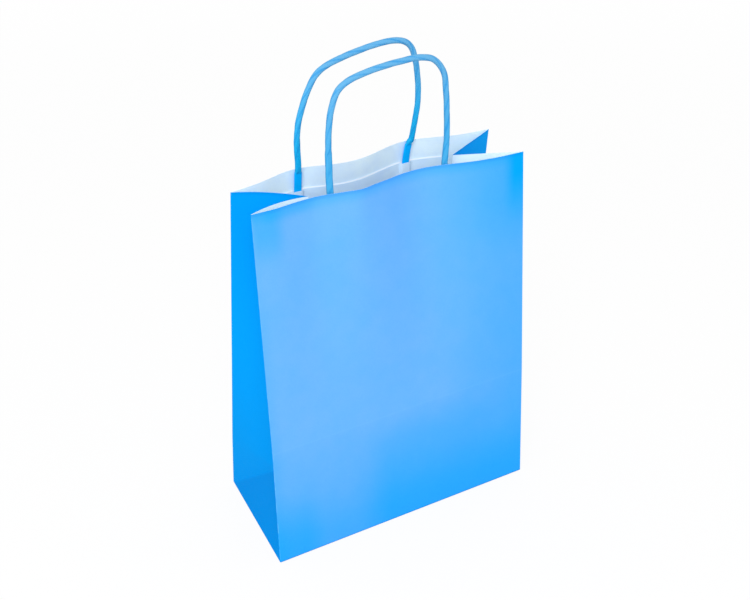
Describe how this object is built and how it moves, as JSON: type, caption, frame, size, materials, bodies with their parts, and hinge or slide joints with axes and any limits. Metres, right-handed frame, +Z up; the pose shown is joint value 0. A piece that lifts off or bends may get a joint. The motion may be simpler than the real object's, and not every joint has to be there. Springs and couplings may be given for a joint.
{
  "type": "paper bag with twisted handles",
  "caption": "Free-standing paper carrier bag with a block bottom, folded side gussets, a wavy open mouth and twisted paper rope handles.",
  "frame": {"origin": "middle of the bottom, on the surface that the bag stands on", "axes": "+X along the bag's width, -Y out of the front panel, +Z up"},
  "size_m": [0.22, 0.1002, 0.3601],
  "materials": {
    "blue_paper": "smooth machine-glazed paper, coloured outside and white inside",
    "rope_paper": "tightly twisted coloured paper",
    "white_paper": "uncoated white paper"
  },
  "bodies": {
    "root": {"bag": "blue_paper", "handle_front": "rope_paper", "handle_back": "rope_paper", "backing_strip_front": "white_paper", "cover_strip_front": "white_paper", "backing_strip_back": "white_paper", "cover_strip_back": "white_paper"}
  },
  "joints": []
}
